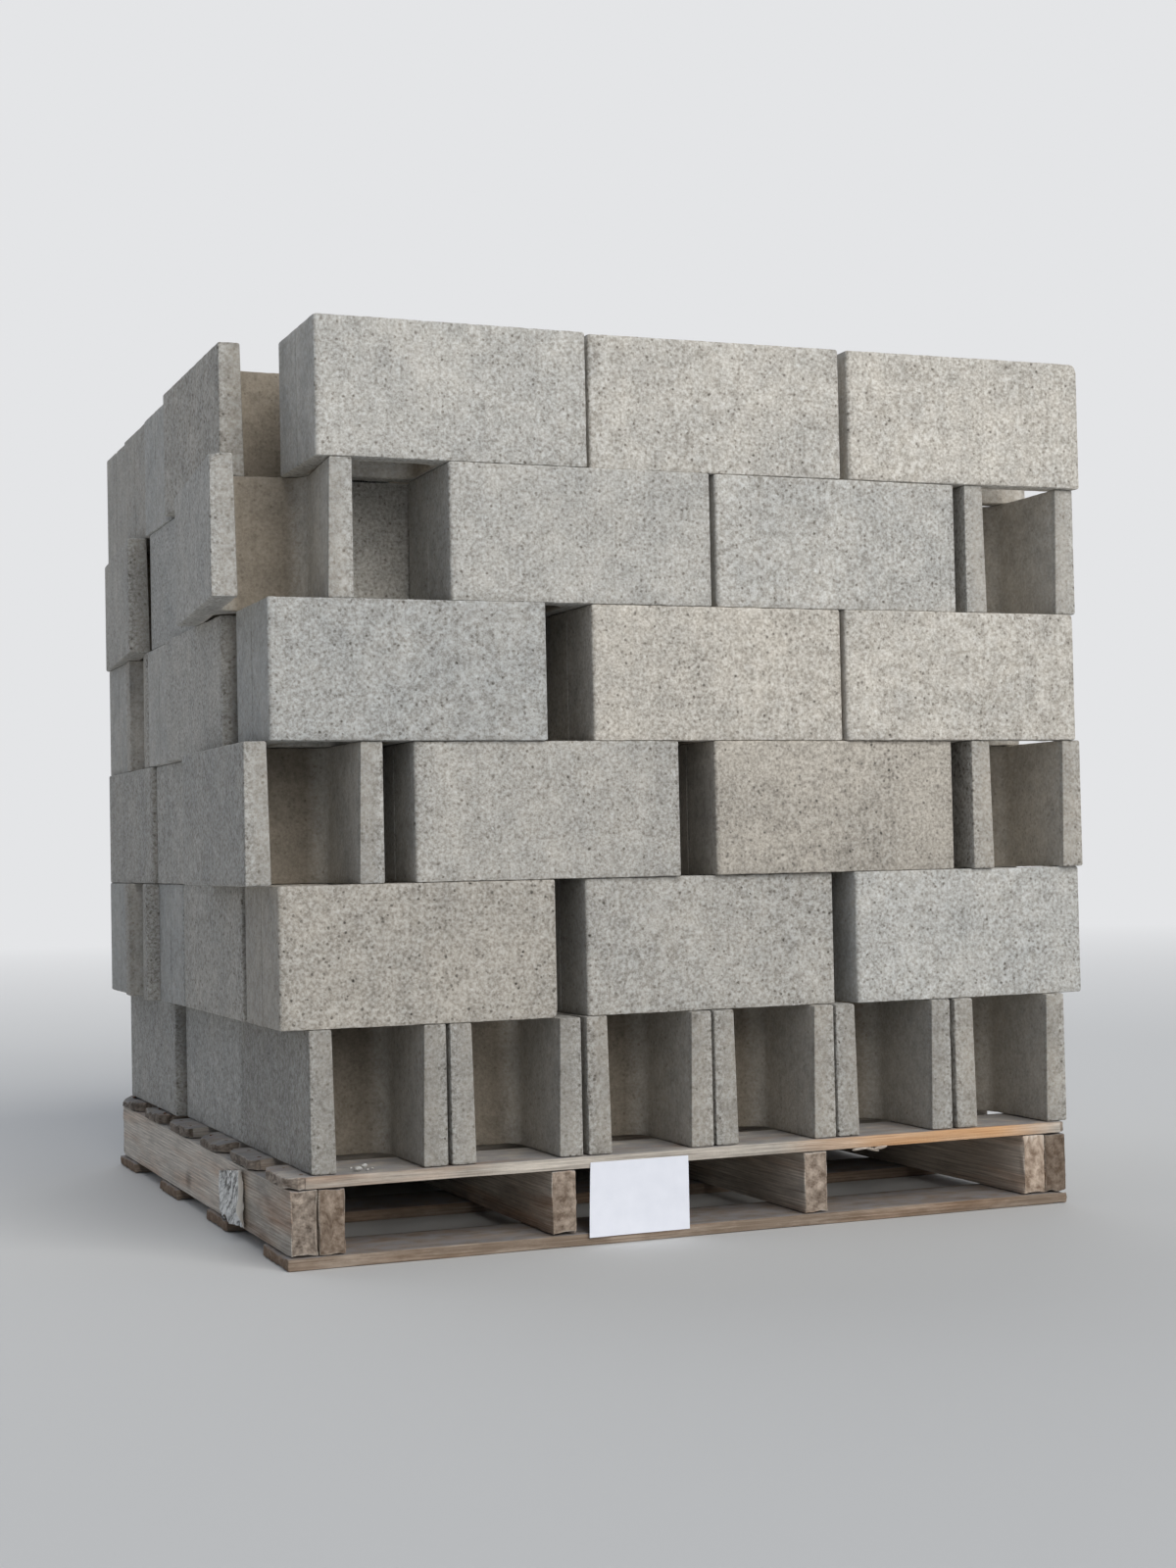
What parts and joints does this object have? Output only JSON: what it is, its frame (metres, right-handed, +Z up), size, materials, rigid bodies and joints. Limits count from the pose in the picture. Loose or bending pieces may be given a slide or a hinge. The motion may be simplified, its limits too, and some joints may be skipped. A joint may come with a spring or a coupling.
{
  "type": "pallet of concrete blocks",
  "caption": "Timber stringer pallet stacked with bonded courses of open-ended hollow concrete blocks, with a blank card on its front and a torn label on its side.",
  "frame": {"origin": "on the floor, under the middle of the box round the whole load", "axes": "+Z up, +X to the right along the front, +Y from the front to the back"},
  "size_m": [1.3592, 1.254, 1.2885],
  "materials": {
    "concrete": "open-textured, as cast",
    "pallet_timber": "rough sawn, weathered grey",
    "card_stock": "matt",
    "label_paper": "torn and crumpled"
  },
  "bodies": {
    "root": {"bottom_board_1": "pallet_timber", "bottom_board_2": "pallet_timber", "bottom_board_3": "pallet_timber", "bottom_board_4": "pallet_timber", "card": "card_stock", "course_1_blocks": "concrete", "course_2_blocks": "concrete", "course_3_blocks": "concrete", "course_4_blocks": "concrete", "course_5_blocks": "concrete", "course_6_blocks": "concrete", "deck_board_1": "pallet_timber", "deck_board_2": "pallet_timber", "deck_board_3": "pallet_timber", "deck_board_4": "pallet_timber", "deck_board_5": "pallet_timber", "deck_board_6": "pallet_timber", "stringer_companion": "pallet_timber", "stringer_inner_left": "pallet_timber", "stringer_inner_right": "pallet_timber", "stringer_left": "pallet_timber", "stringer_left_companion": "pallet_timber", "stringer_right": "pallet_timber", "torn_label": "label_paper"}
  },
  "joints": []
}
